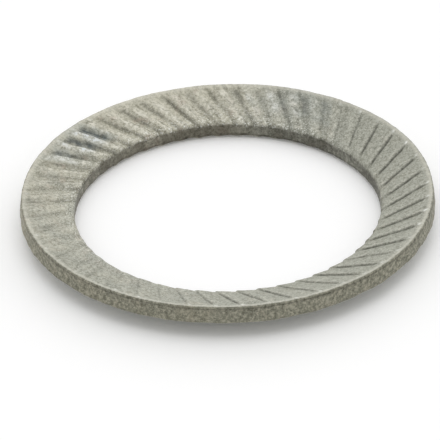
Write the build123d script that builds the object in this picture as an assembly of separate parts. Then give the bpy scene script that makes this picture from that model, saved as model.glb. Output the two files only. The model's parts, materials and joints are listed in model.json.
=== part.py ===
from build123d import *
import os
from math import acos, cos, degrees, hypot, radians, sin, sqrt, tan

# A dished lock washer of spring steel, ribbed on both faces. One piece, in millimetres and degrees.
# The origin lies on the washer's axis, in the plane that it rests on. +Z is the axis, and the dish
# opens towards +Z: the bore's lower edge is on the ground and the outer edge is raised.

# The blank
outer_diameter = 39.0         # at the lower corner of the outer wall, which is the wider one
bore_diameter = 28.8
sheet_thickness = 1.68        # square to the plain faces
dish_angle = 17.7             # slope of both faces, rising from the bore to the outer edge
outer_wall_lean = 7.0         # inward and up, as the square edge of a flat blank turns when dished
upper_rim_radius = 0.12       # rounding of the outer wall's upper corner, which is nearly sharp
lower_rim_radius = 0.25       # rounding of its lower corner
bore_edge_radius = 0.45       # rounding of both corners of the bore
corner_flats = 3              # narrow flats that each rounded corner is made of

# The ribs: saw teeth with one steep and one gentle flank, on straight lines that pass the axis
rib_count = 49                # on each face
groove_depth = 0.08           # below the plain face
crest_rise = 0.07             # above the plain face, from the metal that the grooves push up
rib_line_offset = 8.1         # distance at which the line of each groove passes the axis
steep_flank_width = 0.18      # seen along the axis
plain_rim_width = 0.75        # band without ribs inside the outer edge
run_out_length = 0.6          # over which the ribs die out into the plain rim
first_groove_angle = 0.8      # where the first groove of the upper face meets the plain rim

# The groove cutters
least_stock = 0.02            # least metal above the crests for them to take away
cutter_headroom = 0.6         # how far they stand clear of that stock

# Sides of the washer
UPPER = 1
LOWER = -1

outer_radius = outer_diameter / 2
bore_radius = bore_diameter / 2
rim_start = outer_radius - plain_rim_width
run_out_start = rim_start - run_out_length
groove_start = bore_radius - bore_edge_radius
pitch_angle = 360 / rib_count


def plain_face_height(radius, side):
    """Height of a plain face at a radius, above the middle of the section at the bore."""
    half_thickness = sheet_thickness / cos(radians(dish_angle)) / 2
    return side * half_thickness + tan(radians(dish_angle)) * (radius - bore_radius)


def rim_radius(side):
    """Radius of a face's outer corner. The leaning wall sets the upper one in from the lower one."""
    if side == LOWER:
        return outer_radius
    slope, lean = tan(radians(dish_angle)), tan(radians(outer_wall_lean))
    wall_height = sheet_thickness / cos(radians(dish_angle))
    return outer_radius - wall_height * lean / (1 + slope * lean)


def crest_line_bow():
    """How far a straight crest line rises over the dished face between its two ends."""
    start_along_line = sqrt(groove_start**2 - rib_line_offset**2)
    end_along_line = sqrt(run_out_start**2 - rib_line_offset**2)
    middle_radius = hypot(rib_line_offset, (start_along_line + end_along_line) / 2)
    return tan(radians(dish_angle)) * ((groove_start + run_out_start) / 2 - middle_radius)


def cutting_stock():
    """Metal left above the crests, so that the straight crest lines stay within the blank."""
    return least_stock + crest_line_bow()


def blank_face_profile(side):
    """A face of the blank from the bore to the outer edge, standing proud where ribs are cut."""
    proud = side * (crest_rise + cutting_stock())
    return [
        (bore_radius, plain_face_height(bore_radius, side) + proud),
        (run_out_start, plain_face_height(run_out_start, side) + proud),
        (rim_start, plain_face_height(rim_start, side)),
        (rim_radius(side), plain_face_height(rim_radius(side), side)),
    ]


def with_flats_for_arcs(section):
    """The same section with each arc drawn as a few flats between points of the arc."""
    points = []
    for edge in section.wire().order_edges():
        flats = corner_flats if edge.geom_type == GeomType.CIRCLE else 1
        points += [edge @ (index / flats) for index in range(flats)]
    return make_face(Polyline(*points, close=True))


def make_blank():
    """The dished ring with its rounded corners and no ribs."""
    outline = blank_face_profile(LOWER) + blank_face_profile(UPPER)[::-1]
    section = Plane.XZ * make_face(Polyline(*outline, close=True))
    section = fillet(section.vertices().sort_by(Axis.X)[:2], bore_edge_radius)
    section = fillet(section.vertices().sort_by(Axis.Z)[-1:], upper_rim_radius)
    section = fillet(section.vertices().sort_by(Axis.X)[-1:], lower_rim_radius)
    return revolve(with_flats_for_arcs(section), Axis.Z)


def groove_line_angle(radius):
    """Angle at a radius of a straight line in plan, from the line's nearest point to the axis."""
    return degrees(acos(rib_line_offset / radius))


def point_by_face(radius, angle, side, lift):
    """A point lifted off the plain face. The lower face is the upper one turned over."""
    turned = radians(side * angle)
    height = plain_face_height(radius, side) + side * lift
    return Vector(radius * cos(turned), radius * sin(turned), height)


def groove_section(radius, side, bottom_lift, crest_lift):
    """Space between two flanks at a radius, carried on past the crests and clear of the stock."""
    past_crests = 1.5
    bottom_angle = groove_line_angle(radius)
    next_crest_angle = bottom_angle + degrees(steep_flank_width / radius)
    bottom = point_by_face(radius, bottom_angle, side, bottom_lift)
    next_crest = point_by_face(radius, next_crest_angle, side, crest_lift)
    last_crest = point_by_face(radius, next_crest_angle - pitch_angle, side, crest_lift)
    steep_end = bottom + (next_crest - bottom) * past_crests
    gentle_end = bottom + (last_crest - bottom) * past_crests
    across = (steep_end - gentle_end).normalized()
    rise = (steep_end - bottom) - across * across.dot(steep_end - bottom)
    clear = rise.normalized() * cutter_headroom
    top = (steep_end + clear, gentle_end + clear)
    return make_face(Polyline(bottom, steep_end, *top, gentle_end, close=True))


def make_groove_cutter(side):
    """Cutter for one groove: full depth from inside the bore, then rising clear of the plain rim."""
    sections = [
        groove_section(groove_start, side, -groove_depth, crest_rise),
        groove_section(run_out_start, side, -groove_depth, crest_rise),
        groove_section(rim_start, side, cutting_stock(), 2 * cutting_stock()),
    ]
    turn_to_first = first_groove_angle - groove_line_angle(rim_start)
    return loft(sections, ruled=True).rotate(Axis.Z, side * turn_to_first)


def make_groove_cutters(side):
    """Cutters for all the grooves of one face."""
    cutter = make_groove_cutter(side)
    return [cutter.rotate(Axis.Z, index * pitch_angle) for index in range(rib_count)]


def make_washer():
    """The ribbed washer, set down so that the crests at the bore's lower edge are at height zero."""
    washer = make_blank() - make_groove_cutters(UPPER) - make_groove_cutters(LOWER)
    return Pos(0, 0, -washer.bounding_box().min.Z) * washer


os.makedirs("parts", exist_ok=True)
export_step(make_washer(), "parts/lock_washer.step")
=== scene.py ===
import json
import math

import bpy
import numpy as np
from mathutils import Matrix, Vector, noise


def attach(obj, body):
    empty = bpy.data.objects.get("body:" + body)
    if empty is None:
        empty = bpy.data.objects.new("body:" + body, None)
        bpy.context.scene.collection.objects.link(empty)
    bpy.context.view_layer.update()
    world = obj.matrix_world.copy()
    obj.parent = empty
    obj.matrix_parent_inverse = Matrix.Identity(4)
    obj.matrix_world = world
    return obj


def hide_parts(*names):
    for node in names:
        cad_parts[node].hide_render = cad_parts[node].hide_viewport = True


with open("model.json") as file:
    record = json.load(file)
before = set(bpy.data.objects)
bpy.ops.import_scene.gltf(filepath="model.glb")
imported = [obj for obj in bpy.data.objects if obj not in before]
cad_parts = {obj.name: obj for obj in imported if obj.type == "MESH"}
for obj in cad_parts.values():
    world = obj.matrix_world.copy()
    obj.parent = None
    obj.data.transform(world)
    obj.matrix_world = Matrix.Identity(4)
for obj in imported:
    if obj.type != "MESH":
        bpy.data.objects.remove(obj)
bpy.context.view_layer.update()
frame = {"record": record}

# A dished lock washer with ribs on both faces, lying on white. Lengths are in millimetres until
# they reach Blender. Angles are in degrees, and those round the ring start at the right of the
# picture and run through its far side.
MM = 0.001
NODE = "lock_washer"

# The washer, with the driving sizes of the part itself
BORE_RADIUS = next(m for m in frame["record"]["mounts"] if m["name"] == "bore")["dims"]["r_mm"]
OUTER_RADIUS = 19.5           # at the lower corner of the outer wall, which is the wider one
SHEET_THICKNESS = 1.68        # square to the plain faces
DISH_ANGLE = 17.7             # slope of both faces, rising from the bore to the outer edge
OUTER_WALL_LEAN = 7.0         # inward and up
UPPER_RIM_RADIUS = 0.12       # rounding of the outer wall's upper corner
LOWER_RIM_RADIUS = 0.25       # rounding of its lower corner
BORE_EDGE_RADIUS = 0.45       # rounding of both corners of the bore

# The ribs
RIB_COUNT = 49                # on each face
GROOVE_DEPTH = 0.08           # below the plain face
CREST_RISE = 0.07             # above the plain face
RIB_LINE_OFFSET = 8.1         # distance at which the line of each groove passes the axis
STEEP_FLANK_ANGLE = 0.42      # from a groove to its crest, a little crisper than the part's
PLAIN_RIM_WIDTH = 0.75        # band without ribs inside the outer edge
RUN_OUT_LENGTH = 0.6          # over which the ribs die out into the plain rim
FIRST_GROOVE_ANGLE = 0.8      # where the first groove of the upper face meets the plain rim
BORE_CORNER_FADE = (0.25, 0.85)   # cosines of the turn left to the face, over which they come in

PITCH = 360 / RIB_COUNT
SLOPE = math.radians(DISH_ANGLE)
RIM_START = OUTER_RADIUS - PLAIN_RIM_WIDTH

# The mesh: columns run round the ring and follow the ribs, rings run round the section
COLUMN_STEPS = (0.0, 0.2, STEEP_FLANK_ANGLE, 0.7, 1.05, 1.5, 2.1, 2.85)   # to half a pitch
UPPER_FACE_RINGS = 44
LOWER_FACE_RINGS = 24
BORE_WALL_RINGS = 8
OUTER_WALL_RINGS = 12
BORE_CORNER_RINGS = 7
UPPER_RIM_RINGS = 3
LOWER_RIM_RINGS = 5

# Places round the section, counted from the start of the upper outer corner. Each corner takes
# half a unit, and the face or wall that follows it takes the next half.
UPPER_FACE = 0.5
BORE_WALL = 1.5
LOWER_BORE_CORNER = 2.0
LOWER_OUTER_CORNER = 3.0
OUTER_WALL = 3.5
SECTION_END = 4.0

# Wear round the ring: angle, depth of the ribs, how far they are rounded, and warmth of the colour,
# which is partly the coating's own tint and partly painted light that makes the far and left side paler
WEAR_ROUND_THE_RING = (
    (0, 1.0, 0.0, 0.1),
    (10, 1.1, 0.0, 0.1),
    (35, 0.95, 0.0, 0.1),
    (50, 0.7, 0.5, 0.2),
    (65, 0.9, 0.9, 0.2),
    (90, 1.2, 1.0, 0.75),
    (112, 1.15, 1.0, 1.0),
    (128, 1.25, 0.9, 0.9),
    (140, 2.2, 0.6, 0.6),
    (152, 2.0, 0.6, 0.6),
    (163, 1.2, 0.8, 0.6),
    (180, 0.45, 0.8, 0.5),
    (225, 0.3, 0.6, 0.25),
    (250, 0.6, 0.3, 0.25),
    (270, 0.8, 0.1, 0.2),
    (325, 0.85, 0.0, 0.1),
)
WEAR_DEPTH, WEAR_ROUNDING, WEAR_WARMTH_AND_PAINTED_LIGHT = 1, 2, 3   # columns of that table
WORN_CREST_SKEW = 0.75        # below 1 brings the crest of a worn wave nearer to the steep side
RIB_VARIATION = 0.35          # of depth, from rib to rib
RIB_NOISE_STEP = 3.7          # from one rib's place in the noise to the next one's
RIB_NOISE_LAYER = 0.5
LINE_WOBBLE = 0.25            # degrees that the rib lines stray
LINE_WOBBLE_SCALE = 0.9

# Colour along the ribs. A line is its place, in degrees from the bottom of the groove, and its
# width. A fade is the two distances outside the bore between which something comes in.
# Painted shade in the grooves: crisp along sharp ribs, broad down the gentle flank of worn ones
SHARP_GROOVE_LINE = (-0.1, 0.34)
SHARP_GROOVE_FADE = (0.35, 0.85)
WORN_GROOVE_LINE = (-2.0, 1.0)        # down the gentle flank
WORN_GROOVE_SHADE = 0.45
# Painted highlights along the crests
SHARP_CREST_LINE = (1.1, 0.6)
SHARP_CREST_LIGHT = 0.35
WORN_CREST_LINE = (2.2, 1.4)
LINE_END = (0.5, 0.45)                # bright tip of a rib
LINE_END_BAND = (0.05, 0.16)          # place outside the start of the plain rim, and width
LINE_END_LOSS = 0.8                   # on worn ribs
BARE_RIBS = {8: 0.5, 9: 0.6, 10: 0.5, 11: 0.4, 19: 1.0, 20: 0.7, 21: 0.8}   # polished to the steel
BARE_FADE = (0.8, 2.0)
# a dark painted reflection along each bare rib
BARE_LINE = (-1.0, 0.45)
BARE_LINE_SHADE = 0.7
# painted highlight round the upper edge
RIM_HIGHLIGHT = (UPPER_FACE + 0.01, 0.025)         # pale line round the upper edge
# painted shade: a dark line on the wall just under the highlighted edge
SHADE_UNDER_EDGE = (SECTION_END - 0.04, 0.035)      # dark line on the wall under that edge
NEAR_BORE_REACH = 1.3                 # of the bright specks by the bore
FIBRE_LAYER = 3.3                     # fibres are noise drawn out along the ribs
FIBRES_A_DEGREE = 0.8
FIBRES_A_MM = 0.4
FIBRE_STRENGTH = 1.6

# Patches in those colours. Each is noise: its scale a millimetre, octaves, level, swing and limit.
GROOVE_PATCHES = (1.6, 3, 1.0, 0.7, 1.4)
CREST_PATCHES = (1.6, 3, 0.7, 1.0, 1.3)
LINE_END_PATCHES = (0.6, 1, 0.5, 1.0, 1.0)
BARE_PATCHES = (0.9, 2, 0.8, 1.0, 1.0)

# Unevenness of the coated surface. A noise is its scale a millimetre, and its octaves.
LUMP_HEIGHT = 0.03
LUMP_NOISE = (0.5, 2)
GRAIN_HEIGHT = 0.012
GRAIN_SCALE = 2.6             # a millimetre
FINER_GRAIN = 0.6             # share of grain at twice that scale
WALL_GRAIN = 1.5              # how much more grain the walls have
RAGGED_HEIGHT = 0.07
RAGGED_NOISE = (0.7, 3)
RAGGED_EDGE = (LOWER_OUTER_CORNER + 0.3, 0.3)      # place round the section, and width

# Colours, linear
COOL_GREY = (0.385, 0.39, 0.33, 1)
# the warm grey is also painted light that makes the far and left side of the ring paler
WARM_GREY = (0.58, 0.56, 0.455, 1)
STAIN = (0.47, 0.39, 0.31, 1)
GRAIN_SHADE = (0.5, 0.5, 0.46, 1)
# pale specks of the coating, also the colour of the painted highlights on the crests and the upper rim
PALE_SPECK_AND_HIGHLIGHT = (0.68, 0.66, 0.57, 1)
BRIGHT_SPECK = (0.85, 0.86, 0.82, 1)
# painted shade, in the grooves and under the upper rim
PAINTED_SHADE = (0.28, 0.28, 0.26, 1)
# The polished ribs: a bright painted reflection on their crests, the steel's own bluish tint, and a
# dark painted reflection in their grooves
BARE_STEEL_REFLECTION = (0.66, 0.70, 0.72, 1)
BARE_TINT = (0.37, 0.42, 0.42, 1)
BARE_GROOVE_REFLECTION = (0.12, 0.16, 0.20, 1)
# painted shade on the outer wall, and a darker one on the bore wall
OUTER_WALL_PAINTED_SHADE = (0.67, 0.65, 0.585, 1)
BORE_WALL_PAINTED_SHADE = (0.27, 0.26, 0.235, 1)
WHITE = (1, 1, 1, 1)

# The coating's noises: scale a millimetre, detail and roughness
GRAIN_NOISE = (3.2, 3.0, 0.7)
FINE_NOISE = (7.0, 2.0, 0.6)
WALL_NOISE = (3.2, 3.0, 0.6)
PATCH_NOISE = (0.45, 3.0, 0.6)
STAIN_NOISE = (0.8, 2.0, 0.55)

# Ramps on those noises and on the mesh's values: start and end, then the strength at each, which
# is 0 and 1 where it isn't given
WARM_PATCHES = (0.1, 0.9)
STAINS = (0.55, 0.72, 0.0, 0.7)
DARK_GRAINS = (0.36, 0.6, 0.6, 0.0)
DARK_FINE_GRAINS = (0.28, 0.5, 0.6, 0.0)
PALE_FINE_GRAINS = (0.55, 0.72, 0.0, 0.6)
CREST_GRAINS = (0.4, 0.58, 0.1, 0.8)
BRIGHT_FINE_GRAINS = (0.56, 0.64)
WALL_SPECKS = (0.52, 0.66, 0.0, 0.6)
WALL_PITS = (0.32, 0.48, 0.6, 0.0)
OUTER_WALL_FADE = (0.1, 0.6)
BORE_WALL_FADE = (0.1, 0.9)
ROUGHNESS = (0.3, 0.7, 0.65, 0.5)

# Strengths in the coating
BARE_TINT_SHARE = 0.35
FIBRE_SHARE = 0.9
RIM_HIGHLIGHT_SHARE = 0.45
SHADE_UNDER_EDGE_SHARE = 0.6
BORE_CORNER_MOTTLE = 1.2      # how much patches shift the shade of the bore
METALLIC = 0.2
BUMP_STRENGTH = 0.8
BUMP_HEIGHT = 0.04
FINE_BUMP = 0.6               # share of the fine noise in the bumps

# The stage
FLOOR_COLOUR = (0.98, 0.98, 0.98, 1)
FLOOR_LIFT = 0.05             # glow that only the camera sees, directly or in a surface
FLOOR_REACH = 600
WORLD_LEVEL = 0.59
WORLD_BEHIND = 0.75           # added behind the washer
WORLD_RIGHT = 0.13            # added to its right
SKY_HEIGHT = 260
SKY_SIZE = 220
SKY_POWER = 0.185             # watts

# The camera, as the picture's long lens sees the washer
CAMERA_ELEVATION = 33.27
CAMERA_ROLL = -1.93
CAMERA_DISTANCE = 329.5
CAMERA_NEAREST = 10
PICTURE_WIDTH = 440
LENS_IN_PIXELS = 3500
RING_CENTRE_PIXEL = (227.57, 218.5)    # where the washer's origin is seen
SENSOR_WIDTH = 36


# ---------------------------------------------------------------- small helpers

def eased(value, start, end):
    """Smooth step from 0 at the start to 1 at the end."""
    share = np.clip((value - start) / (end - start), 0, 1)
    return share * share * (3 - 2 * share)


def soft_peak(value, centre, width):
    """1 at the centre, falling softly to 0 on both sides."""
    return np.exp(-((value - centre) / width) ** 2)


def noise_over(places, scale, octaves=1):
    """Noise from -1 to 1 at an array of places."""
    flat = places.reshape(-1, 3) * scale
    if octaves == 1:
        values = [noise.noise(Vector(place)) for place in flat]
    else:
        values = [noise.fractal(Vector(place), 1.0, 2.0, octaves) for place in flat]
    return np.array(values).reshape(places.shape[:-1])


# ---------------------------------------------------------------- the section

def plain_height(radius, side):
    """Height of a plain dished face, before the washer is set down."""
    return side * SHEET_THICKNESS / math.cos(SLOPE) / 2 + math.tan(SLOPE) * (radius - BORE_RADIUS)


def corner_arc(corner, before, after, radius, steps):
    """Points and outward normals of a rounded corner between two straight stretches."""
    corner, before, after = (np.array(point, float) for point in (corner, before, after))
    to_before = (before - corner) / np.linalg.norm(before - corner)
    to_after = (after - corner) / np.linalg.norm(after - corner)
    half = math.acos(float(to_before @ to_after)) / 2
    bisector = (to_before + to_after) / np.linalg.norm(to_before + to_after)
    centre = corner + bisector * radius / math.sin(half)
    start = corner + to_before * radius / math.tan(half) - centre
    end = corner + to_after * radius / math.tan(half) - centre
    turn = math.atan2(start[0] * end[1] - start[1] * end[0], start @ end)
    angles = turn * np.arange(steps + 1) / steps
    arms = np.outer(np.cos(angles), start) + np.outer(np.sin(angles), (-start[1], start[0]))
    return centre + arms, arms / radius


def section_corners():
    """The four corners of the section with their rounding, from the upper outer one by the bore."""
    lean = math.radians(OUTER_WALL_LEAN)
    wall_height = SHEET_THICKNESS / math.cos(SLOPE)
    set_in = wall_height * math.tan(lean) / (1 + math.tan(SLOPE) * math.tan(lean))
    upper_rim = OUTER_RADIUS - set_in
    return [
        ((upper_rim, plain_height(upper_rim, 1)), UPPER_RIM_RADIUS, UPPER_RIM_RINGS),
        ((BORE_RADIUS, plain_height(BORE_RADIUS, 1)), BORE_EDGE_RADIUS, BORE_CORNER_RINGS),
        ((BORE_RADIUS, plain_height(BORE_RADIUS, -1)), BORE_EDGE_RADIUS, BORE_CORNER_RINGS),
        ((OUTER_RADIUS, plain_height(OUTER_RADIUS, -1)), LOWER_RIM_RADIUS, LOWER_RIM_RINGS),
    ]


def section_sides():
    """Outward normal and number of rings of the face or wall that follows each corner."""
    lean = math.radians(OUTER_WALL_LEAN)
    return [
        ((-math.sin(SLOPE), math.cos(SLOPE)), UPPER_FACE_RINGS),
        ((-1, 0), BORE_WALL_RINGS),
        ((math.sin(SLOPE), -math.cos(SLOPE)), LOWER_FACE_RINGS),
        ((math.cos(lean), math.sin(lean)), OUTER_WALL_RINGS),
    ]


def section_rings():
    """The closed section as arrays: radius and height, normal, and place round the section."""
    corners = section_corners()
    arcs = []
    for index, (corner, radius, rings) in enumerate(corners):
        before, after = corners[index - 1][0], corners[(index + 1) % len(corners)][0]
        arcs.append(corner_arc(corner, before, after, radius, rings))
    points, normals, round_section = [], [], []
    for index, ((arc, arc_normals), (normal, rings)) in enumerate(zip(arcs, section_sides())):
        arc_shares = np.arange(len(arc)) / (len(arc) - 1)
        side_shares = np.arange(1, rings) / rings
        side_start, side_end = arc[-1], arcs[(index + 1) % len(arcs)][0][0]
        points += [arc, side_start + np.outer(side_shares, side_end - side_start)]
        normals += [arc_normals, np.tile(normal, (rings - 1, 1))]
        round_section += [index + 0.5 * arc_shares, index + 0.5 + 0.5 * side_shares]
    return np.concatenate(points), np.concatenate(normals), np.concatenate(round_section)


# ---------------------------------------------------------------- the ribs

def line_turn(radius):
    """How far a straight rib line has turned at a radius, from where it meets the plain rim."""
    ratio = np.clip(RIB_LINE_OFFSET / np.asarray(radius, float), 0, 1)
    return np.degrees(np.arccos(ratio)) - math.degrees(math.acos(RIB_LINE_OFFSET / RIM_START))


def steps_across_pitch():
    """Angles of the columns of one pitch, dense about the groove."""
    before_next_groove = [PITCH - step for step in COLUMN_STEPS[1:]]
    return sorted([*COLUMN_STEPS, PITCH / 2, *before_next_groove])


def column_turns(radius, round_section):
    """Turn of the columns at each ring, and the pitches they are out by where the section closes."""
    upper = FIRST_GROOVE_ANGLE + line_turn(radius)
    at_bore = FIRST_GROOVE_ANGLE + float(line_turn(BORE_RADIUS))
    at_rim = FIRST_GROOVE_ANGLE + float(line_turn(OUTER_RADIUS))
    lower_lead = round(2 * at_bore / PITCH) * PITCH
    pitches_out = round((lower_lead - 2 * at_rim) / PITCH)
    bore_share = np.clip((round_section - BORE_WALL) / 0.5, 0, 1)
    outside_share = np.clip((round_section - OUTER_WALL) / 0.5, 0, 1)
    down_the_bore = at_bore + (lower_lead - 2 * at_bore) * bore_share
    turn_outside = 2 * at_rim + pitches_out * PITCH - lower_lead
    up_the_outside = lower_lead - at_rim + turn_outside * outside_share
    turns = np.select(
        [round_section <= BORE_WALL, round_section < LOWER_BORE_CORNER, round_section <= OUTER_WALL],
        [upper, down_the_bore, lower_lead - upper],
        up_the_outside,
    )
    return turns, pitches_out


def sharp_profile(within):
    """Lift over the plain face across one pitch: steep from groove to crest, then gentle."""
    steep = STEEP_FLANK_ANGLE
    rising = -GROOVE_DEPTH + (CREST_RISE + GROOVE_DEPTH) * within / steep
    falling = CREST_RISE - (CREST_RISE + GROOVE_DEPTH) * (within - steep) / (PITCH - steep)
    return np.where(within < steep, rising, falling)


def worn_profile(within):
    """The same pitch where coating and wear have rounded the rib to a lopsided wave."""
    share = (within / PITCH) ** WORN_CREST_SKEW
    return CREST_RISE - (CREST_RISE + GROOVE_DEPTH) * (0.5 + 0.5 * np.cos(2 * math.pi * share))


def fibres(angles, radius):
    """Noise drawn out along the rib lines, from -1 to 1."""
    across, along = np.broadcast_arrays(angles * FIBRES_A_DEGREE, radius * FIBRES_A_MM)
    layer = np.full_like(across, FIBRE_LAYER)
    return noise_over(np.stack([across, along, layer], -1), scale=1, octaves=2)


# ---------------------------------------------------------------- the washer's surface

class WasherGrid:
    """Rings round the section, crossed by columns that follow the ribs, with arrays of both."""

    def __init__(self):
        self.points, self.normals, round_section = section_rings()
        self.radius = self.points[:, :1]
        self.round_section = round_section[:, None]
        steps = steps_across_pitch()
        self.offsets = np.array([rib * PITCH + step for rib in range(RIB_COUNT) for step in steps])
        turns, pitches_out = column_turns(self.points[:, 0], round_section)
        self.columns_out = pitches_out * len(steps)
        self.round_ring = turns[:, None] + self.offsets
        self.plain_places = self.places_lifted(0 * self.round_ring)
        self.out_from_bore = self.radius - BORE_RADIUS
        self.find_sides()
        self.find_ribs()

    def find_sides(self):
        """Which face or wall each ring is on, and how much of the ribs it has."""
        on_upper = self.round_section <= BORE_WALL
        on_lower = (self.round_section >= LOWER_BORE_CORNER) & (self.round_section <= OUTER_WALL)
        self.side = np.where(on_upper, 1.0, np.where(on_lower, -1.0, 0.0))
        across_face = self.normals @ (-math.sin(SLOPE), math.cos(SLOPE))
        facing = self.side * across_face[:, None]
        at_rim = eased(RIM_START - self.radius, 0, RUN_OUT_LENGTH)
        self.rib_share = at_rim * eased(facing, *BORE_CORNER_FADE)
        self.wall = 1 - np.abs(across_face)[:, None]
        self.outside = self.radius > (BORE_RADIUS + OUTER_RADIUS) / 2

    def find_ribs(self):
        """Which rib each column is on, how far along its pitch, and how deep and worn the rib is."""
        self.rib = np.floor(self.offsets / PITCH + 0.5).astype(int)
        wobble = LINE_WOBBLE * noise_over(self.plain_places, LINE_WOBBLE_SCALE)
        from_first_groove = np.where(self.side >= 0, self.offsets, -self.offsets)
        self.within = np.mod(from_first_groove + wobble, PITCH)
        layer = np.full(len(self.rib), RIB_NOISE_LAYER)
        rib_noise = noise_over(np.stack([self.rib * RIB_NOISE_STEP, layer, layer], -1), scale=1)
        self.depth = self.wear(WEAR_DEPTH) * (1 + RIB_VARIATION * rib_noise)
        self.worn = self.wear(WEAR_ROUNDING)

    def wear(self, column):
        """A column of the wear table, between its rows."""
        table = np.array(WEAR_ROUND_THE_RING)
        return np.interp(self.round_ring, table[:, 0], table[:, column], period=360)

    def places_lifted(self, lift):
        """Places on the surface, lifted along its normals."""
        angles = np.radians(self.round_ring)
        radius = self.radius + self.normals[:, :1] * lift
        height = self.points[:, 1:] + self.normals[:, 1:] * lift
        return np.stack([radius * np.cos(angles), radius * np.sin(angles), height], -1)

    def patches(self, scale, octaves, level, swing, greatest):
        """Noise about a level."""
        return np.clip(level + swing * noise_over(self.plain_places, scale, octaves), 0, greatest)

    def along_ribs(self, centre, width):
        """A soft line along each rib."""
        from_centre = np.mod(self.within - centre + PITCH / 2, PITCH) - PITCH / 2
        return soft_peak(from_centre, 0, width)

    def places(self):
        """Places of the vertices, with ribs, grain, lumps and a ragged edge, set down on the ground."""
        profile = sharp_profile(self.within) * (1 - self.worn) + worn_profile(self.within) * self.worn
        grain = noise_over(self.plain_places, GRAIN_SCALE)
        grain = grain + FINER_GRAIN * noise_over(self.plain_places, 2 * GRAIN_SCALE)
        lumps = noise_over(self.plain_places, *LUMP_NOISE)
        ragged = noise_over(self.plain_places, *RAGGED_NOISE)
        ragged = ragged * soft_peak(self.round_section, *RAGGED_EDGE)
        lift = profile * self.depth * self.rib_share
        lift = lift + GRAIN_HEIGHT * grain * (1 + WALL_GRAIN * self.wall)
        lift = lift + LUMP_HEIGHT * lumps + RAGGED_HEIGHT * ragged
        places = self.places_lifted(lift)
        places[..., 2] -= places[..., 2].min()
        return places

    def bare(self):
        """How far the polished ribs show steel."""
        rib_bare = np.array([BARE_RIBS.get(int(rib), 0.0) for rib in self.rib])
        return rib_bare * (self.side > 0) * eased(self.out_from_bore, *BARE_FADE)

    def groove(self):
        """Painted shade along the grooves: crisp in sharp grooves, broad and faint in worn grooves; on
        bare ribs, a dark painted reflection.
        """
        patches = self.patches(*GROOVE_PATCHES)
        sharp = self.along_ribs(*SHARP_GROOVE_LINE) * (1 - self.worn)
        sharp = sharp * eased(self.out_from_bore, *SHARP_GROOVE_FADE)
        worn = WORN_GROOVE_SHADE * self.along_ribs(*WORN_GROOVE_LINE) * self.worn
        bare = BARE_LINE_SHADE * self.bare() * self.along_ribs(*BARE_LINE)
        return np.clip(((sharp + worn) * self.depth + bare) * patches, 0, 1) * self.rib_share

    def crest(self):
        """Painted highlights on the crests."""
        sharp = SHARP_CREST_LIGHT * self.along_ribs(*SHARP_CREST_LINE) * (1 - self.worn)
        worn = self.along_ribs(*WORN_CREST_LINE) * self.worn
        return (sharp + worn) * self.patches(*CREST_PATCHES) * self.rib_share * self.depth

    def line_end(self):
        """Bright tips where the upper ribs meet the plain rim."""
        in_band = soft_peak(self.radius - RIM_START, *LINE_END_BAND)
        tips = in_band * soft_peak(self.within, *LINE_END) * (self.side > 0)
        return tips * self.patches(*LINE_END_PATCHES) * (1 - LINE_END_LOSS * self.worn)

    def fibre(self):
        """Dark fibres along the worn ribs."""
        strength = np.clip(FIBRE_STRENGTH * fibres(self.offsets, self.radius), 0, 1)
        return strength * self.worn * (self.side != 0)

    def values(self):
        """What the material is told at each vertex, all from 0 to about 1."""
        return {
            "groove": self.groove(),
            "crest": self.crest(),
            "line_end": self.line_end(),
            "fibre": self.fibre(),
            "bare": self.bare() * self.patches(*BARE_PATCHES),
            "worn": self.worn,
            "warmth_and_painted_light": self.wear(WEAR_WARMTH_AND_PAINTED_LIGHT),
            "outer_wall": self.wall * self.outside,
            "bore_wall": self.wall * ~self.outside,
            "rim_highlight": soft_peak(self.round_section, *RIM_HIGHLIGHT),
            "shade_under_edge": soft_peak(self.round_section, *SHADE_UNDER_EDGE),
            "near_bore": np.exp(-self.out_from_bore / NEAR_BORE_REACH) * (self.side > 0),
        }


def washer_quads(rings, columns, columns_out):
    """Corners of the faces, outward. The last ring joins the first, out by some columns."""
    ring, column = np.meshgrid(np.arange(rings), np.arange(columns), indexing="ij")
    next_ring = (ring + 1) % rings
    next_column = (column + 1) % columns
    ahead = np.where(ring + 1 == rings, columns_out, 0)
    return np.stack([
        ring * columns + column,
        ring * columns + next_column,
        next_ring * columns + (next_column + ahead) % columns,
        next_ring * columns + (column + ahead) % columns,
    ], -1).reshape(-1, 4)


def make_washer():
    """The washer as one closed mesh, with smooth shading and named values on its vertices."""
    grid = WasherGrid()
    places = grid.places()
    rings, columns = places.shape[:2]
    quads = washer_quads(rings, columns, grid.columns_out)
    mesh = bpy.data.meshes.new("washer")
    mesh.vertices.add(rings * columns)
    mesh.vertices.foreach_set("co", (places * MM).reshape(-1))
    mesh.loops.add(quads.size)
    mesh.loops.foreach_set("vertex_index", quads.reshape(-1))
    mesh.polygons.add(len(quads))
    mesh.polygons.foreach_set("loop_start", np.arange(0, quads.size, 4))
    mesh.polygons.foreach_set("use_smooth", np.ones(len(quads), bool))
    mesh.update(calc_edges=True)
    mesh.validate()
    for name, value in grid.values().items():
        layer = mesh.attributes.new(name, "FLOAT", "POINT")
        everywhere = np.broadcast_to(value, (rings, columns)).astype(np.float32)
        layer.data.foreach_set("value", everywhere.reshape(-1))
    washer = bpy.data.objects.new("washer", mesh)
    bpy.context.collection.objects.link(washer)
    return washer


# ---------------------------------------------------------------- materials

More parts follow.
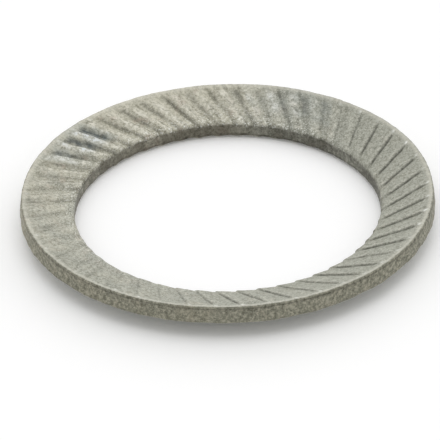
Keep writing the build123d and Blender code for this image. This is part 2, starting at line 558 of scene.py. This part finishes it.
class Nodes:
    """Short ways to add and join shader nodes. Inputs are sockets or plain values."""

    def __init__(self, holder, output):
        self.holder = holder
        self.holder.use_nodes = True
        self.tree = self.holder.node_tree
        self.tree.nodes.clear()
        self.output = self.add(output)

    def add(self, kind):
        return self.tree.nodes.new("ShaderNode" + kind)

    def put(self, value, socket):
        """Join a socket, or set a plain value on it."""
        if isinstance(value, bpy.types.NodeSocket):
            self.tree.links.new(value, socket)
        else:
            socket.default_value = value

    def math(self, operation, *values):
        node = self.add("Math")
        node.operation = operation
        for value, socket in zip(values, node.inputs):
            self.put(value, socket)
        return node.outputs[0]

    def times(self, first, second):
        return self.math("MULTIPLY", first, second)

    def mix(self, share, first, second, blend="MIX"):
        node = self.add("Mix")
        node.data_type = "RGBA"
        node.blend_type = blend
        self.put(share, node.inputs["Factor"])
        colours = [socket for socket in node.inputs if socket.type == "RGBA"]
        self.put(first, colours[0])
        self.put(second, colours[1])
        return next(socket for socket in node.outputs if socket.type == "RGBA")

    def shade(self, share, colour, shade):
        """A colour darkened by a shade."""
        return self.mix(share, colour, shade, "MULTIPLY")

    def noise(self, place, scale, detail, roughness):
        node = self.add("TexNoise")
        self.put(place, node.inputs["Vector"])
        self.put(scale, node.inputs["Scale"])
        self.put(detail, node.inputs["Detail"])
        self.put(roughness, node.inputs["Roughness"])
        return node.outputs["Fac"]

    def ramp(self, value, start, end, at_start=0.0, at_end=1.0):
        """A smooth change between two values of the input."""
        node = self.add("MapRange")
        node.interpolation_type = "SMOOTHSTEP"
        self.put(value, node.inputs["Value"])
        self.put(start, node.inputs["From Min"])
        self.put(end, node.inputs["From Max"])
        self.put(at_start, node.inputs["To Min"])
        self.put(at_end, node.inputs["To Max"])
        return node.outputs["Result"]

    def attribute(self, name):
        """A value that the mesh has on its vertices."""
        node = self.add("Attribute")
        node.attribute_name = name
        return node.outputs["Fac"]

    def places(self):
        """Places on the object in millimetres."""
        scale = self.add("VectorMath")
        scale.operation = "SCALE"
        self.put(self.add("TexCoord").outputs["Object"], scale.inputs["Vector"])
        self.put(1 / MM, scale.inputs["Scale"])
        return scale.outputs["Vector"]


class Coating(Nodes):
    """Matt grey-olive zinc coating: granular and patchy, with painted shade in the grooves and painted
    highlights on the crests.
    """

    def __init__(self):
        super().__init__(bpy.data.materials.new("coated_steel"), "OutputMaterial")
        place = self.places()
        self.grain = self.noise(place, *GRAIN_NOISE)
        self.fine = self.noise(place, *FINE_NOISE)
        self.wall_grain = self.noise(place, *WALL_NOISE)
        self.patches = self.noise(place, *PATCH_NOISE)
        self.stains = self.noise(place, *STAIN_NOISE)
        colour = self.add_grains(self.ground())
        colour = self.add_walls(self.add_ribs(colour))
        self.add_surface(colour)

    def ground(self):
        """Cool and warm grey in patches, stained where it is warm and bluish where it is bare. The warm
        grey is partly the coating's tint and partly painted light on the far and left side.
        """
        warmth_and_painted_light = self.attribute("warmth_and_painted_light")
        shifted = self.math("ADD", self.patches, self.math("SUBTRACT", warmth_and_painted_light, 0.5))
        colour = self.mix(self.ramp(shifted, *WARM_PATCHES), COOL_GREY, WARM_GREY)
        colour = self.mix(self.times(self.ramp(self.stains, *STAINS), warmth_and_painted_light), colour, STAIN)
        return self.mix(self.times(self.attribute("bare"), BARE_TINT_SHARE), colour, BARE_TINT)

    def add_grains(self, colour):
        """Dark and pale grains, and fibres."""
        colour = self.shade(self.ramp(self.grain, *DARK_GRAINS), colour, GRAIN_SHADE)
        colour = self.shade(self.ramp(self.fine, *DARK_FINE_GRAINS), colour, GRAIN_SHADE)
        colour = self.shade(self.times(self.attribute("fibre"), FIBRE_SHARE), colour, GRAIN_SHADE)
        return self.mix(self.ramp(self.fine, *PALE_FINE_GRAINS), colour, PALE_SPECK_AND_HIGHLIGHT)

    def add_ribs(self, colour):
        """Painted highlights on the crests and the upper rim, bare steel with painted reflections,
        bright specks, and painted shade in the grooves.
        """
        bare = self.attribute("bare")
        # painted highlights on the crests and round the upper rim
        crest = self.times(self.attribute("crest"), self.ramp(self.grain, *CREST_GRAINS))
        rim_highlight = self.times(self.attribute("rim_highlight"), RIM_HIGHLIGHT_SHARE)
        colour = self.mix(self.math("MAXIMUM", crest, rim_highlight), colour, PALE_SPECK_AND_HIGHLIGHT)
        # bright painted reflection on the crests of the bare ribs
        colour = self.mix(self.times(bare, crest), colour, BARE_STEEL_REFLECTION)
        worn_by_bore = self.times(self.attribute("near_bore"), self.attribute("worn"))
        sparkle = self.times(worn_by_bore, self.ramp(self.fine, *BRIGHT_FINE_GRAINS))
        bright = self.math("MAXIMUM", sparkle, self.attribute("line_end"))
        colour = self.mix(bright, colour, BRIGHT_SPECK)
        # painted shade in the grooves, and a dark painted reflection in those of the bare ribs
        groove_shade_colour = self.mix(bare, PAINTED_SHADE, BARE_GROOVE_REFLECTION)
        return self.shade(self.attribute("groove"), colour, groove_shade_colour)

    def add_walls(self, colour):
        """Coarser specks and pits on the walls, which are darkened with painted shade, and a painted
        shade line under the rim.
        """
        outer_wall = self.attribute("outer_wall")
        bore_wall = self.attribute("bore_wall")
        on_a_wall = self.math("MAXIMUM", outer_wall, bore_wall)
        specks = self.times(on_a_wall, self.ramp(self.wall_grain, *WALL_SPECKS))
        pits = self.times(on_a_wall, self.ramp(self.wall_grain, *WALL_PITS))
        colour = self.shade(pits, self.mix(specks, colour, PALE_SPECK_AND_HIGHLIGHT), GRAIN_SHADE)
        # painted shade on the outer wall, then a stronger one on the bore wall, mottled by patches
        colour = self.shade(self.ramp(outer_wall, *OUTER_WALL_FADE), colour, OUTER_WALL_PAINTED_SHADE)
        mottle = self.math("SUBTRACT", self.patches, 0.5)
        in_bore = self.math("MULTIPLY_ADD", mottle, BORE_CORNER_MOTTLE, bore_wall)
        colour = self.shade(self.ramp(in_bore, *BORE_WALL_FADE), colour, BORE_WALL_PAINTED_SHADE)
        # painted shade: a dark line under the upper rim
        shade_under_edge = self.times(self.attribute("shade_under_edge"), SHADE_UNDER_EDGE_SHARE)
        return self.shade(shade_under_edge, colour, PAINTED_SHADE)

    def add_surface(self, colour):
        """The surface itself, with small bumps."""
        bump = self.add("Bump")
        self.put(BUMP_STRENGTH, bump.inputs["Strength"])
        self.put(BUMP_HEIGHT * MM, bump.inputs["Distance"])
        height = self.math("MULTIPLY_ADD", self.fine, FINE_BUMP, self.grain)
        self.put(height, bump.inputs["Height"])
        surface = self.add("BsdfPrincipled")
        self.put(colour, surface.inputs["Base Color"])
        self.put(self.ramp(self.grain, *ROUGHNESS), surface.inputs["Roughness"])
        self.put(METALLIC, surface.inputs["Metallic"])
        self.put(bump.outputs["Normal"], surface.inputs["Normal"])
        self.put(surface.outputs["BSDF"], self.output.inputs["Surface"])


def floor_material():
    """Pale floor: it bounces light as white paper does, and the camera sees it a little lifted."""
    n = Nodes(bpy.data.materials.new("floor"), "OutputMaterial")
    path = n.add("LightPath")
    seen = n.math("MAXIMUM", path.outputs["Is Camera Ray"], path.outputs["Is Glossy Ray"])
    seen = n.math("MAXIMUM", seen, path.outputs["Is Transmission Ray"])
    lift = n.add("Emission")
    n.put(WHITE, lift.inputs["Color"])
    n.put(n.times(seen, FLOOR_LIFT), lift.inputs["Strength"])
    paper = n.add("BsdfDiffuse")
    n.put(FLOOR_COLOUR, paper.inputs["Color"])
    both = n.add("AddShader")
    n.put(paper.outputs["BSDF"], both.inputs[0])
    n.put(lift.outputs["Emission"], both.inputs[1])
    n.put(both.outputs["Shader"], n.output.inputs["Surface"])
    return n.holder


# ---------------------------------------------------------------- the stage

def make_floor():
    """A wide floor just under the washer."""
    corners = [(-1, -1, 0), (1, -1, 0), (1, 1, 0), (-1, 1, 0)]
    mesh = bpy.data.meshes.new("floor")
    mesh.from_pydata([Vector(corner) * FLOOR_REACH * MM for corner in corners], [], [(0, 1, 2, 3)])
    mesh.materials.append(floor_material())
    floor = bpy.data.objects.new("floor", mesh)
    bpy.context.collection.objects.link(floor)
    return floor


def make_sky():
    """A square soft light high over the washer, facing down."""
    light = bpy.data.lights.new("sky", "AREA")
    light.shape = "SQUARE"
    light.size = SKY_SIZE * MM
    light.energy = SKY_POWER
    sky = bpy.data.objects.new("sky", light)
    sky.location = (0, 0, SKY_HEIGHT * MM)
    bpy.context.collection.objects.link(sky)


def make_world():
    """White surroundings that are brighter behind the washer and to its right."""
    n = Nodes(bpy.data.worlds.new("studio"), "OutputWorld")
    bpy.context.scene.world = n.holder
    direction = n.add("SeparateXYZ")
    n.put(n.add("TexCoord").outputs["Generated"], direction.inputs["Vector"])
    behind = n.math("MAXIMUM", direction.outputs["Y"], 0.0)
    to_the_right = n.math("MAXIMUM", direction.outputs["X"], 0.0)
    level = n.math("MULTIPLY_ADD", behind, WORLD_BEHIND, WORLD_LEVEL)
    level = n.math("MULTIPLY_ADD", to_the_right, WORLD_RIGHT, level)
    background = n.add("Background")
    n.put(WHITE, background.inputs["Color"])
    n.put(level, background.inputs["Strength"])
    n.put(background.outputs["Background"], n.output.inputs["Surface"])


def make_camera():
    """The picture's camera: a long lens, a little rolled, that sees the origin at its own pixel."""
    elevation = math.radians(CAMERA_ELEVATION)
    roll = math.radians(CAMERA_ROLL)
    forward = Vector((0, math.cos(elevation), -math.sin(elevation)))
    level_up = Vector((0, math.sin(elevation), math.cos(elevation)))
    level_right = Vector((1, 0, 0))
    right = level_right * math.cos(roll) + level_up * math.sin(roll)
    up = level_up * math.cos(roll) - level_right * math.sin(roll)
    picture_centre = (PICTURE_WIDTH - 1) / 2
    across = (RING_CENTRE_PIXEL[0] - picture_centre) / LENS_IN_PIXELS * CAMERA_DISTANCE
    down = (RING_CENTRE_PIXEL[1] - picture_centre) / LENS_IN_PIXELS * CAMERA_DISTANCE
    place = (up * down - right * across - forward * CAMERA_DISTANCE) * MM
    data = bpy.data.cameras.new("camera")
    data.sensor_width = SENSOR_WIDTH
    data.lens = LENS_IN_PIXELS / PICTURE_WIDTH * SENSOR_WIDTH
    data.clip_start = CAMERA_NEAREST * MM
    camera = bpy.data.objects.new("camera", data)
    turn = Matrix((right, up, -forward)).transposed()
    camera.matrix_world = Matrix.Translation(place) @ turn.to_4x4()
    bpy.context.collection.objects.link(camera)
    bpy.context.scene.camera = camera


washer = make_washer()
washer.data.materials.append(Coating().holder)
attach(washer, "root")
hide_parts(NODE)

make_floor()
make_sky()
make_world()
make_camera()
bpy.context.scene.view_settings.view_transform = "Standard"
